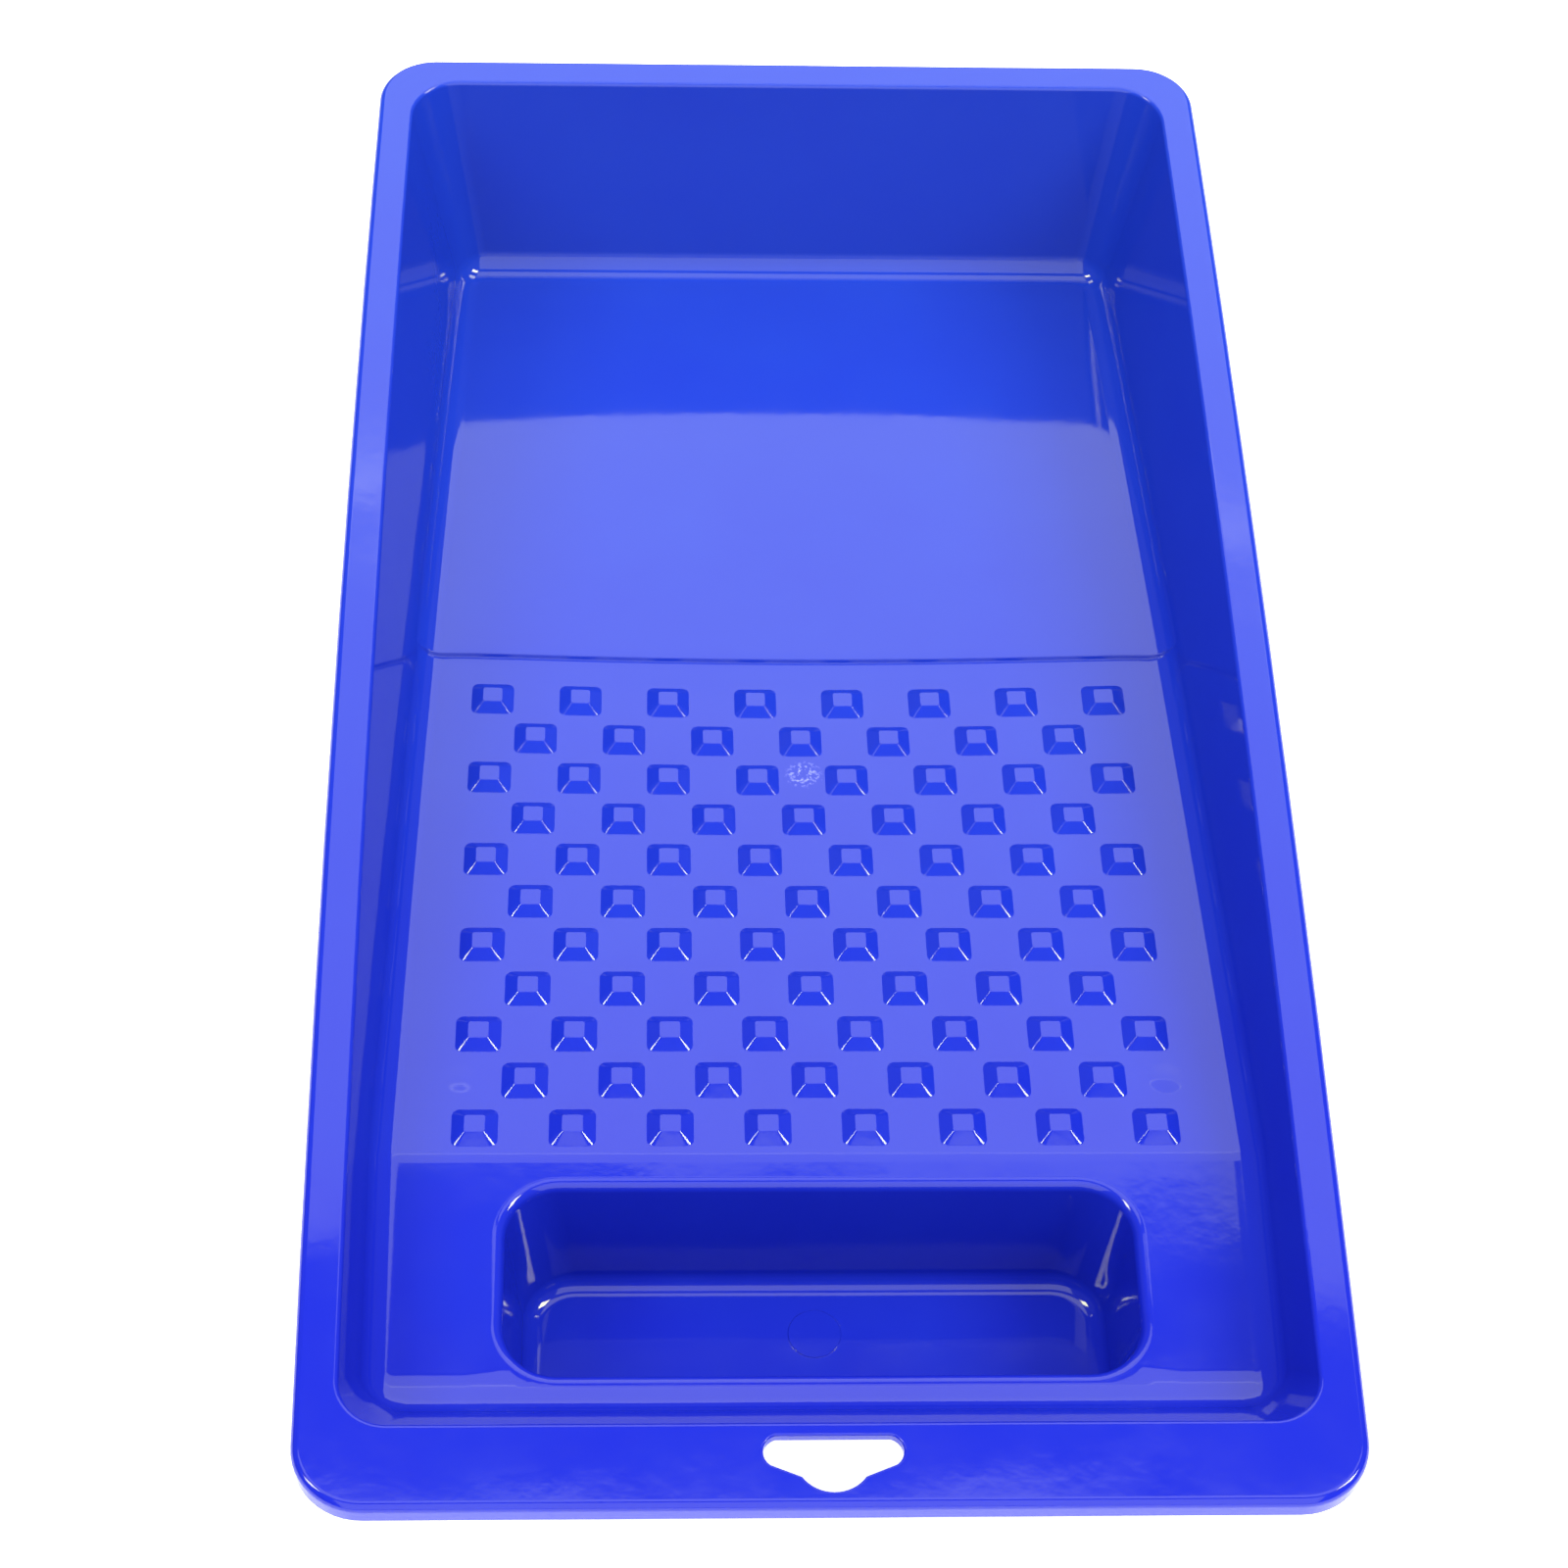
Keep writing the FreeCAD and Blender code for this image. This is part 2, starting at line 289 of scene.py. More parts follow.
class Skin:
    """All surface points with their normals, and the faces of each piece."""

    def __init__(self):
        self.points = []
        self.normals = []
        self.below = {}
        self.faces = {}

    def vertex(self, point, normal):
        self.points.append(np.array(point, float))
        self.normals.append(np.array(normal, float))
        return len(self.points) - 1

    def pair(self, top, under):
        """A point of the inside with the point of the underside that lies across the wall from it."""
        index = self.vertex(*top)
        self.below[index] = self.vertex(*under)
        return index

    def face(self, piece, loop):
        """A face of one skin only."""
        clean = [v for i, v in enumerate(loop) if v != loop[i - 1]]
        if len(set(clean)) >= 3:
            self.faces.setdefault(piece, []).append(clean)

    def double(self, piece, loop):
        """A face of the inside, with the same face on the underside."""
        self.face(piece, loop)
        self.face(piece, [self.below[v] for v in reversed(loop)])

    def finish(self):
        """Bows and ripples all points."""
        for i, (point, normal) in enumerate(zip(self.points, self.normals)):
            point, normal = bowed(point, unit(normal))
            self.points[i], self.normals[i] = rippled(point, normal)


skin = Skin()


# ---------------------------------------------------------------- pockets


class Pocket:
    """Drafted pocket with rounded corners. half, near and far are its plan lines at height level.
    drafts and corners are those of its near end and of the rest; the far corners flare upwards."""

    def __init__(self, half, near, far, level, drafts, corners, flare=0.0):
        self.half, self.near, self.far, self.level = half, near, far, level
        self.drafts, self.corners, self.flare = drafts, corners, flare

    def lean(self, s):
        """How far the wall goes outwards beside station s for each unit of height."""
        flare = self.flare if s.kind == "corner" and s.sy > 0 else 0.0
        end_draft = self.drafts[0] if s.sy < 0 else self.drafts[1]
        return (self.drafts[1] - flare) * abs(s.nx) + (end_draft - flare) * abs(s.ny) + flare

    def into_wall(self, s):
        """Unit normal of the wall at a station, pointing into the material."""
        return unit(np.array([s.nx, s.ny, -self.lean(s)]))

    def plan(self, s, z, off):
        """Point of the wall at height z beside station s, moved outwards by off."""
        rise = z - self.level
        half = self.half + self.drafts[1] * rise
        end = self.far + self.drafts[1] * rise if s.sy > 0 else self.near - self.drafts[0] * rise
        if s.kind == "side":
            return np.array([s.nx * (half + off), s.at])
        if s.kind == "end":
            return np.array([s.at, end + s.ny * off])
        corner = self.corners[1] + self.flare * rise if s.sy > 0 else self.corners[0]
        x = s.sx * (half - corner)
        y = end - s.sy * corner
        return np.array([x + s.nx * (corner + off), y + s.ny * (corner + off)])

    def ball(self, s, off, height_at):
        """Centre of the ball that touches the wall at distance off, at the height of height_at(y)."""
        reach = off * math.sqrt(1 + self.lean(s) ** 2)
        z = height_at(0.0 if s.kind == "end" else s.at)
        for _ in range(20):
            x, y = self.plan(s, z, reach)
            z = height_at(y)
        return np.array([x, y, z])


def turns(start, end, count):
    """Unit vectors that turn from start to end."""
    angle = math.acos(max(-1.0, min(1.0, float(start @ end))))
    made = []
    for i in range(count + 1):
        t = i / count
        made.append((math.sin((1 - t) * angle) * start + math.sin(t * angle) * end) / math.sin(angle))
    return made


def corner_stations(side, angles, sx, sy):
    made = []
    for a in angles:
        n = (round(math.cos(math.radians(a)), 12), round(math.sin(math.radians(a)), 12))
        made.append(Station(side, "corner", 0.0, n[0], n[1], sx, sy, ("corner", sx, sy, a % 360)))
    return made


def stations(rows, columns, shift):
    """Stations round a pocket, counterclockwise from the middle of its near right corner.
    shift(y) moves a station on a long side so that its fillet meets the floor at row y."""
    half = [CORNER_STEP * i for i in range(7)]
    right = corner_stations("right", [315 + a for a in half], 1, -1)
    right += [Station("right", "side", y + shift(y), 1.0, 0.0, 1, 0, ("side", 1, y)) for y in rows]
    right += corner_stations("right", half[:-1], 1, 1)
    far = corner_stations("far", [45 + a for a in half], 1, 1)
    far += [Station("far", "end", x, 0.0, 1.0, 0, 1, ("end", 1, x)) for x in reversed(columns)]
    far += corner_stations("far", [90 + a for a in half[:-1]], -1, 1)
    left = corner_stations("left", [135 + a for a in half], -1, 1)
    left += [
        Station("left", "side", y + shift(y), -1.0, 0.0, -1, 0, ("side", -1, y)) for y in reversed(rows)
    ]
    left += corner_stations("left", [180 + a for a in half[:-1]], -1, -1)
    near = corner_stations("near", [225 + a for a in half], -1, -1)
    near += [Station("near", "end", x, 0.0, -1.0, 0, -1, ("end", -1, x)) for x in columns]
    near += corner_stations("near", [270 + a for a in half[:-1]], 1, -1)
    return right + far + left + near


def join_ring(ring, columns, names):
    """Faces between neighbouring stations. names(side, i) is the piece of profile strip i."""
    for j, s in enumerate(ring):
        here, there = columns[j], columns[(j + 1) % len(ring)]
        for i in range(len(here) - 1):
            piece = names(s, i)
            if piece:
                skin.double(piece, [here[i], there[i], there[i + 1], here[i + 1]])


# ---------------------------------------------------------------- rim and outer walls

basin = Pocket(
    OPEN_HALF, OPEN_NEAR, OPEN_FAR, HEIGHT,
    (NEAR_DRAFT, DRAFT), (NEAR_CORNER, FAR_CORNER), FAR_CORNER_FLARE,
)
FLANGE_SHARES = [0.04, 0.22, 0.41, 0.6, 0.8]
HOLE_STRIPS = range(12, 17)
RIM_STRIPS = 23


def row_of(s):
    """Floor row that a station of the outer ring meets."""
    if s.kind == "side":
        return s.key[2]
    return FLOOR_Y[-1] if s.sy > 0 else FLOOR_Y[0]


def outline(s, d):
    """Point of the rim's outline, moved outwards by d."""
    if s.kind == "side":
        return np.array([s.nx * (OUT_X + d), s.at])
    if s.kind == "end":
        return np.array([s.at, s.ny * (OUT_Y + d)])
    x = s.sx * (OUT_X - RIM_CORNER)
    y = s.sy * (OUT_Y - RIM_CORNER)
    return np.array([x + s.nx * (RIM_CORNER + d), y + s.ny * (RIM_CORNER + d)])


def lip_arc(s, d, z, radius, start, end, count, outward=1.0):
    """Rounded edge of the lip, in the upright plane through the station."""
    made = []
    for i in range(count + 1):
        a = math.radians(start + (end - start) * i / count)
        x, y = outline(s, d + radius * math.cos(a))
        normal = np.array([s.nx * math.cos(a), s.ny * math.cos(a), math.sin(a)]) * outward
        made.append((np.array([x, y, z + radius * math.sin(a)]), normal))
    return made


def between(first, last, shares, normal):
    return [(first + (last - first) * t, normal) for t in shares]


def basin_profile(s):
    """Inside and underside of the tray at one station, from the lip's foot to the floor."""
    n_wall = basin.into_wall(s)
    row = row_of(s)
    radius = FLOOR_FILLET
    up = floor_up(row)
    fall = up[1] / up[2]
    x, y = outline(s, -LIP_WALL / 2)
    foot = (np.array([x, y, LIP_Z]), -UP)

    top = lip_arc(s, -LIP_FOOT, LIP_Z + LIP_FOOT, LIP_FOOT, -90, 0, 3)
    top += lip_arc(s, -RIM_EDGE, HEIGHT - RIM_EDGE, RIM_EDGE, 0, 90, 6)
    edge = basin.ball(s, INNER_EDGE, lambda y: HEIGHT - INNER_EDGE)
    top += between(top[-1][0], edge + INNER_EDGE * UP, FLANGE_SHARES, UP)
    top += [(edge + INNER_EDGE * d, d) for d in turns(UP, -n_wall, 5)]
    heel = basin.ball(s, -radius, lambda y: floor_level(row) - fall * (y - row) + radius / up[2])
    first, last = top[-1][0], heel + radius * n_wall
    share = min(0.6, (first[2] - HEIGHT + WALL) / max(0.1, first[2] - last[2]))
    top += between(first, last, [share, (1 + share) / 2], -n_wall)
    top += [(heel + radius * d, -d) for d in turns(n_wall, -up, 12)]

    under = lip_arc(s, -LIP_WALL + LIP_FOOT_UNDER, LIP_Z + LIP_FOOT_UNDER, LIP_FOOT_UNDER, -90, -180, 3)
    edge_z = HEIGHT - WALL - RIM_EDGE_UNDER
    under += lip_arc(s, -LIP_WALL - RIM_EDGE_UNDER, edge_z, RIM_EDGE_UNDER, 0, 90, 6, -1.0)
    inner = WALL + UNDER_EDGE
    edge = basin.ball(s, inner, lambda y: HEIGHT - inner)
    under += between(under[-1][0], edge + UNDER_EDGE * UP, FLANGE_SHARES, -UP)
    under += [(edge + UNDER_EDGE * d, -d) for d in turns(UP, -n_wall, 5)]
    outer = radius + WALL
    under += between(under[-1][0], heel + outer * n_wall, [0.05, 0.5], n_wall)
    under += [(heel + outer * d, d) for d in turns(n_wall, -up, 12)]
    return foot, top, under


def step_normals(ring, columns):
    """Where the fillet crosses the step, the normals come from the neighbouring points."""
    for j, s in enumerate(ring):
        if s.kind != "side" or not 0.0 < step_share(s.key[2]) < 1.0:
            continue
        before, here, after = columns[j - 1], columns[j], columns[j + 1]
        for which in (lambda v: v, lambda v: skin.below[v]):
            for i in range(RIM_STRIPS, len(here)):
                up, down = which(here[i - 1]), which(here[min(i + 1, len(here) - 1)])
                along = skin.points[which(after[i])] - skin.points[which(before[i])]
                across = skin.points[down] - skin.points[up]
                normal = unit(np.cross(along, across))
                old = skin.normals[which(here[i])]
                skin.normals[which(here[i])] = normal if normal @ old > 0 else -normal


def build_basin():
    ring = stations(FLOOR_Y, FLOOR_X, lambda y: FLOOR_FILLET * floor_up(y)[1])
    columns = []
    for s in ring:
        foot, top, under = basin_profile(s)
        column = [skin.vertex(*foot)]
        skin.below[column[0]] = column[0]
        column += [skin.pair(a, b) for a, b in zip(top, under)]
        columns.append(column)
    step_normals(ring, columns)

    def names(s, i):
        in_hole = s.kind == "end" and s.side == "near" and HOLE_X[0] <= s.at < HOLE_X[-1]
        if in_hole and i in HOLE_STRIPS:
            return None
        if i < RIM_STRIPS:
            return "rim_" + s.side
        return "near_wall" if s.sy < 0 or row_of(s) < LANDING_Y else s.side + "_wall"

    join_ring(ring, columns, names)
    return {s.key: column for s, column in zip(ring, columns)}


# ---------------------------------------------------------------- floors


def fill_band(names, outer, outer_cuts, inner, inner_cuts):
    """Fills the band between two loops with one face after each cut. names are the pieces of the faces."""
    for k, name in enumerate(names):
        a, b = outer_cuts[k], outer_cuts[(k + 1) % len(names)]
        c, d = inner_cuts[k], inner_cuts[(k + 1) % len(names)]
        rim = [outer[(a + i) % len(outer)] for i in range((b - a) % len(outer) + 1)]
        core = [inner[(c + i) % len(inner)] for i in range((d - c) % len(inner) + 1)]
        loop = rim + core[::-1]
        if all(v in skin.below for v in loop):
            skin.double(name, loop)
        else:
            skin.face(name, loop)


def build_grid(contact, rows, columns, height, normal, across, skipped, names):
    """Floor of a pocket inside its ring of fillets, as rows of vertices. across(y) points down the wall."""
    angles = [CORNER_STEP * i for i in range(13)]

    def ends(key_right, key_left):
        return contact[key_right][-1], contact[key_left][-1]

    def inner(x, y):
        point = np.array([x, y, height(x, y)])
        up = normal(x, y)
        return skin.pair((point, up), (point - WALL * across(y), -up))

    def edge_row(sy, a):
        right, left = ends(("corner", 1, sy, a), ("corner", -1, sy, a))
        middle = [contact[("end", sy, x)][-1] for x in columns]
        return [left, left] + middle + [right, right]

    grid = [edge_row(-1, 270.0)]
    levels = []
    for a in angles[1:]:
        levels.append((("corner", 1, -1, (270 + a) % 360), ("corner", -1, -1, 270 - a)))
    levels += [(("side", 1, y), ("side", -1, y)) for y in rows]
    for a in angles[:-1]:
        levels.append((("corner", 1, 1, a), ("corner", -1, 1, 180 - a)))
    near_corner = abs(skin.points[grid[0][0]][0])
    far_corner = abs(skin.points[contact[("corner", 1, 1, 90.0)][-1]][0])
    for key_right, key_left in levels:
        right, left = ends(key_right, key_left)
        y = skin.points[right][1]
        if key_right[0] == "side":
            rounding = (near_corner, far_corner)[key_right[2] > 0]
            start = skin.points[contact[("corner", 1, 1 if key_right[2] > 0 else -1, 0.0)][-1]][0]
            inset = skin.points[right][0] - (start - rounding)
        else:
            inset = near_corner if key_right[2] < 0 else far_corner
        xs = [-inset] + list(columns) + [inset]
        grid.append([left] + [inner(x, y) for x in xs] + [right])
    grid.append(edge_row(1, 90.0))

    for r in range(len(grid) - 1):
        for c in range(len(columns) + 3):
            loop = [grid[r][c], grid[r][c + 1], grid[r + 1][c + 1], grid[r + 1][c]]
            if (r, c) in skipped:
                continue
            skin.double(names(r, c), loop)
    return grid


def rectangle(grid, r0, r1, c0, c1):
    """Loop of the grid's vertices round the cells between two rows and two columns, counterclockwise.
    Also gives where its near right, far right, far left and near left corners are in the loop."""
    loop = [grid[r][c1] for r in range(r0, r1)]
    cuts = [0, len(loop)]
    loop += [grid[r1][c] for c in range(c1, c0, -1)]
    cuts.append(len(loop))
    loop += [grid[r][c0] for r in range(r1, r0, -1)]
    cuts.append(len(loop))
    loop += [grid[r0][c] for c in range(c0, c1)]
    return loop, cuts


def stud_outline(half, corner):
    """Rounded square as (x, y, normal x, normal y), from the middle of its near right corner."""
    made = []
    for quarter in range(4):
        base = math.radians(-90 + 90 * quarter)
        for step in range(5):
            a = base + math.radians(22.5 * step)
            centre = half - corner
            cx = centre * (1 if quarter in (0, 1) else -1)
            cy = centre * (1 if quarter in (1, 2) else -1)
            made.append((cx + corner * math.cos(a), cy + corner * math.sin(a), math.cos(a), math.sin(a)))
        a = base + math.radians(90)
        along = (-math.sin(a), math.cos(a))
        start = made[-1]
        for step in (1, 2, 3):
            run = 2 * (half - corner) * step / 4
            made.append((start[0] + along[0] * run, start[1] + along[1] * run, math.cos(a), math.sin(a)))
    return made[2:] + made[:2]


def stud_rings():
    """Half-width, corner radius, height and slope angle of each ring of a stud, from foot to top."""
    angle = math.atan2(STUD_HEIGHT, STUD_BASE - STUD_TOP)
    foot = STUD_BASE + STUD_FOOT * math.tan(angle / 2)
    crest = STUD_TOP - STUD_CREST * math.tan(angle / 2)
    made = []
    for i in range(3):
        a = angle * i / 2
        made.append((foot - STUD_FOOT * math.sin(a), STUD_FOOT * (1 - math.cos(a)), a))
    for i in (3, 2, 1, 0):
        a = angle * i / 3
        made.append((crest + STUD_CREST * math.sin(a), STUD_HEIGHT - STUD_CREST * (1 - math.cos(a)), a))
    rings = []
    for half, height, a in made:
        corner = STUD_BASE_CORNER + (STUD_TOP_CORNER - STUD_BASE_CORNER) * height / STUD_HEIGHT
        rings.append((half, corner, height, a))
    return rings


def raised(cx, cy, u, v, mu, mv, height, angle):
    """Point and normal of a feature on the sloping floor, u across and v along the slope."""
    x, y = cx + u, cy + v * math.cos(SLOPE)
    base = np.array([x, y, floor_z(x, y)])
    up = floor_normal(x, y)
    along = np.array([0.0, math.cos(SLOPE), -math.sin(SLOPE)])
    side = mu * np.array([1.0, 0.0, 0.0]) + mv * along
    return base + height * FLOOR_UP, unit(math.cos(angle) * up + math.sin(angle) * side)


def cap(piece, loops):
    """Faces between nested loops of equal length, closed by one face in the middle."""
    for outer, inner in zip(loops, loops[1:]):
        for i in range(len(outer)):
            j = (i + 1) % len(outer)
            skin.face(piece, [outer[i], outer[j], inner[j], inner[i]])
    skin.face(piece, loops[-1])


def add_stud(grid, row, column, x, y):
    boundary, cuts = rectangle(grid, row, row + 2, column, column + 2)
    loops = []
    for half, corner, height, angle in stud_rings():
        ring = stud_outline(half, corner)
        loops.append([skin.vertex(*raised(x, y, *p, height, angle)) for p in ring])
    piece = "ramp_plate"
    fill_band([piece] * 4, boundary, cuts, loops[0], [0, 8, 16, 24])
    skin.face(piece, [skin.below[v] for v in reversed(boundary)])
    cap(piece, loops)


def add_blister(grid, rows, columns, blister, piece):
    """Low round bump on the ramp plate."""
    x, y, radius, rise = blister
    boundary, cuts = rectangle(grid, *rows, *columns)
    loops = []
    for share in (1.0, 0.85, 0.65, 0.4, 0.15):
        height = rise * (1 - share * share) ** 2
        slope = math.atan(4 * rise * share * (1 - share * share) / radius)
        ring = []
        for i in range(32):
            a = math.radians(-45 + 360 * i / 32)
            m = (math.cos(a), math.sin(a))
            u, v = radius * share * m[0], radius * share * m[1]
            ring.append(skin.vertex(*raised(x, y, u, v, *m, height, slope)))
        loops.append(ring)
    fill_band([piece] * 4, boundary, cuts, loops[0], [0, 8, 16, 24])
    skin.face(piece, [skin.below[v] for v in reversed(boundary)])
    cap(piece, loops)


CORNER_ROWS = 12
FIRST_ROW = CORNER_ROWS + 1


def floor_row(y):
    return FIRST_ROW + min(range(len(FLOOR_Y)), key=lambda i: abs(FLOOR_Y[i] - y))


def floor_column(x):
    return 2 + min(range(len(FLOOR_X)), key=lambda i: abs(FLOOR_X[i] - x))


def stud_sites():
    """Row, column and centre of every stud."""
    for k in range(STUD_ROWS):
        y = FIRST_ROW_Y - k * STUD_PITCH_Y
        count = 8 - k % 2
        for i in range(count):
            x = (i - (count - 1) / 2) * STUD_PITCH_X
            yield floor_row(y) - 1, floor_column(x) - 1, x, y


def build_floors(contact):
    trough_rows = (floor_row(LEDGE_NEAR_Y), floor_row(LEDGE_FAR_Y))
    trough_columns = (floor_column(-14 * HALF_PITCH), floor_column(14 * HALF_PITCH))
    sites = list(stud_sites())
    skipped = set()
    for r, c, _, _ in sites:
        skipped |= {(r + i, c + j) for i in (0, 1) for j in (0, 1)}
    for r in range(*trough_rows):
        skipped |= {(r, c) for c in range(*trough_columns)}
    blister_row = floor_row(BLISTERS[0][1])
    blister_rows = (blister_row - 1, blister_row + 1)
    patches = []
    for blister in BLISTERS:
        columns = (floor_column(13 * HALF_PITCH), 2 + len(FLOOR_X))
        if blister[0] < 0:
            columns = (1, floor_column(-13 * HALF_PITCH))
        patches.append((blister, columns))
        for r in range(*blister_rows):
            skipped |= {(r, c) for c in range(*columns)}

    edges = {
        "near": FIRST_ROW,
        "ledge": floor_row(LEDGE_NEAR_Y),
        "ramp": floor_row(LEDGE_FAR_Y),
        "well": floor_row(STEP_Y),
        "far": FIRST_ROW + len(FLOOR_Y),
    }
    last = len(FLOOR_X) + 1

    def names(r, c):
        if r >= edges["far"]:
            return "far_wall"
        if r < edges["near"] or r < edges["ramp"] and not 2 <= c < last:
            return "near_wall"
        if c < 2:
            return "left_wall"
        if c >= last:
            return "right_wall"
        if r >= edges["well"]:
            return "well_floor"
        if r >= edges["ramp"]:
            return "ramp_plate"
        if r < edges["ledge"]:
            return "near_ledge"
        return "left_ledge" if c < len(FLOOR_X) / 2 else "right_ledge"

    grid = build_grid(contact, FLOOR_Y, FLOOR_X, floor_z, floor_normal, floor_up, skipped, names)
    for site in sites:
        add_stud(grid, *site)
    for blister, columns in patches:
        add_blister(grid, blister_rows, columns, blister, "ramp_plate")
    return rectangle(grid, *trough_rows, *trough_columns)


# ---------------------------------------------------------------- trough

trough = Pocket(
    TROUGH_HALF, TROUGH_NEAR, TROUGH_FAR, WALL,
    (TROUGH_DRAFT, TROUGH_DRAFT), (TROUGH_CORNER, TROUGH_CORNER),
)
TROUGH_X = [HALF_PITCH * i for i in range(-9, 10)]


def trough_profile(s):
    """Inside and underside of the trough at one station, from the ledge to the trough's floor."""
    n_wall = trough.into_wall(s)
    outward = np.array([s.nx, s.ny, 0.0])
    edge = trough.ball(s, TROUGH_LIP, lambda y: floor_level(y) - TROUGH_LIP)
    joint = edge + outward * TROUGH_MARGIN
    joint[2] = floor_level(joint[1])
    heel = trough.ball(s, -TROUGH_FILLET, lambda y: WALL + TROUGH_FILLET)
    top = [(joint, LEDGE_UP)]
    top += [(edge + TROUGH_LIP * d, d) for d in turns(UP, -n_wall, 8)]
    top += between(top[-1][0], heel + TROUGH_FILLET * n_wall, [0.5], -n_wall)
    top += [(heel + TROUGH_FILLET * d, -d) for d in turns(n_wall, -UP, 10)]

    inner = WALL + TROUGH_LIP_UNDER
    edge = trough.ball(s, inner, lambda y: floor_level(y) - inner)
    under = [(joint - WALL * UP, -UP)]
    under += [(edge + TROUGH_LIP_UNDER * d, -d) for d in turns(UP, -n_wall, 8)]
    outer = TROUGH_FILLET + WALL
    under += between(under[-1][0], heel + outer * n_wall, [0.5], n_wall)
    under += [(heel + outer * d, d) for d in turns(n_wall, -UP, 10)]
    return top, under


def match_mouth(mouth, mouth_corners, ring):
    """Stations of the trough's ring that have a vertex of the mouth straight across from them, or that
    lie on a corner's diagonal, with those vertices. Also gives the piece of the ledge after each."""
    sides = {"right": "right_ledge", "far": "ramp_plate", "left": "left_ledge", "near": "near_ledge"}
    names, outer_cuts, inner_cuts = [], [], []
    for i, s in enumerate(ring):
        k = SIDES.index(s.side)
        corner = mouth_corners[k]
        count = (mouth_corners[(k + 1) % 4] - corner) % len(mouth)
        if s.side != ring[i - 1].side:
            across = corner
        elif s.kind == "corner":
            continue
        else:
            axis = 0 if s.kind == "end" else 1
            run = [(corner + j) % len(mouth) for j in range(count + 1)]
            across = min(run, key=lambda m: abs(skin.points[mouth[m]][axis] - s.at))
        names.append(sides[s.side])
        outer_cuts.append(across)
        inner_cuts.append(i)
    return names, outer_cuts, inner_cuts


def build_trough(mouth, mouth_corners):
    ring = stations(TROUGH_ROWS, TROUGH_X, lambda y: 0.0)
    columns = []
    for s in ring:
        top, under = trough_profile(s)
        columns.append([skin.pair(a, b) for a, b in zip(top, under)])
    join_ring(ring, columns, lambda s, i: "trough_" + s.side + "_wall")
    names, outer_cuts, inner_cuts = match_mouth(mouth, mouth_corners, ring)
    fill_band(names, mouth, outer_cuts, [column[0] for column in columns], inner_cuts)

    contact = {s.key: column for s, column in zip(ring, columns)}
    rows = (FIRST_ROW + 1, FIRST_ROW + len(TROUGH_ROWS) + 7)
    across = (2 + TROUGH_X.index(-2 * HALF_PITCH), 2 + TROUGH_X.index(2 * HALF_PITCH))
    skipped = {(r, c) for r in range(*rows) for c in range(*across)}
    grid = build_grid(
        contact, TROUGH_ROWS, TROUGH_X, trough_z, trough_normal, lambda y: UP, skipped,
        lambda r, c: "trough_floor",
    )
    add_ejector_mark(*rectangle(grid, *rows, *across))


def add_ejector_mark(boundary, cuts):
    """Round plateau that the ejector pin left in the trough's floor."""
    x, y, radius, height = EJECTOR
    loops = []
    for out, rise, angle in ((0.12, 0.0, 0.0), (0.06, 0.25, 60.0), (0.0, 0.75, 60.0), (-0.06, 1.0, 0.0)):
        ring = []
        for i in range(48):
            a = math.radians(-45 + 360 * i / 48)
            m = np.array([math.cos(a), math.sin(a), 0.0])
            point = np.array([x, y, WALL + rise * height]) + m * (radius + out)
            tilt = math.radians(angle)
            ring.append(skin.vertex(point, math.cos(tilt) * UP + math.sin(tilt) * m))
        loops.append(ring)
    fill_band(["trough_floor"] * 4, boundary, cuts, loops[0], [0, 12, 24, 36])
    skin.face("trough_floor", [skin.below[v] for v in reversed(boundary)])
    cap("trough_floor", loops)


# ---------------------------------------------------------------- hang hole


def arc_through(a, b, c, count):
    """Points on the arc from a through b to c, with a left out."""
    a, b, c = (np.array(p) for p in (a, b, c))
    rows = np.array([b - a, c - b]) * 2
    centre = np.linalg.solve(rows, np.array([b @ b - a @ a, c @ c - b @ b]))
    start = math.atan2(*(a - centre)[::-1])
    end = math.atan2(*(c - centre)[::-1])
    middle = math.atan2(*(b - centre)[::-1])
    turn = (end - start) % (2 * math.pi)
    if (middle - start) % (2 * math.pi) > turn:
        turn -= 2 * math.pi
    radius = np.linalg.norm(a - centre)
    angles = [start + turn * i / count for i in range(1, count + 1)]
    return [centre + radius * np.array([math.cos(t), math.sin(t)]) for t in angles]


def hole_outline():
    """The hole's outline, clockwise from the middle of its straight side, on its right half first."""
    flat, widest, shoulder = (8.0, 0.0), (9.7, -2.3), (8.7, -4.3)
    lobe, foot = (4.4, -6.1), (0.0, -8.4)
    points = [np.array([x, 0.0]) for x in (2.7, 5.4, 8.0)]
    points += arc_through(flat, widest, shoulder, 9)
    points += [np.array([7.27, -4.9]), np.array([5.83, -5.5]), np.array(lobe)]
    points += arc_through(lobe, foot, (-lobe[0], lobe[1]), 16)[:8]
    left = [np.array([-p[0], p[1]]) for p in reversed(points[:-1])]
    whole = points + left + [np.array([0.0, 0.0])]
    return [p + np.array([0.0, HOLE_Y]) for p in whole]


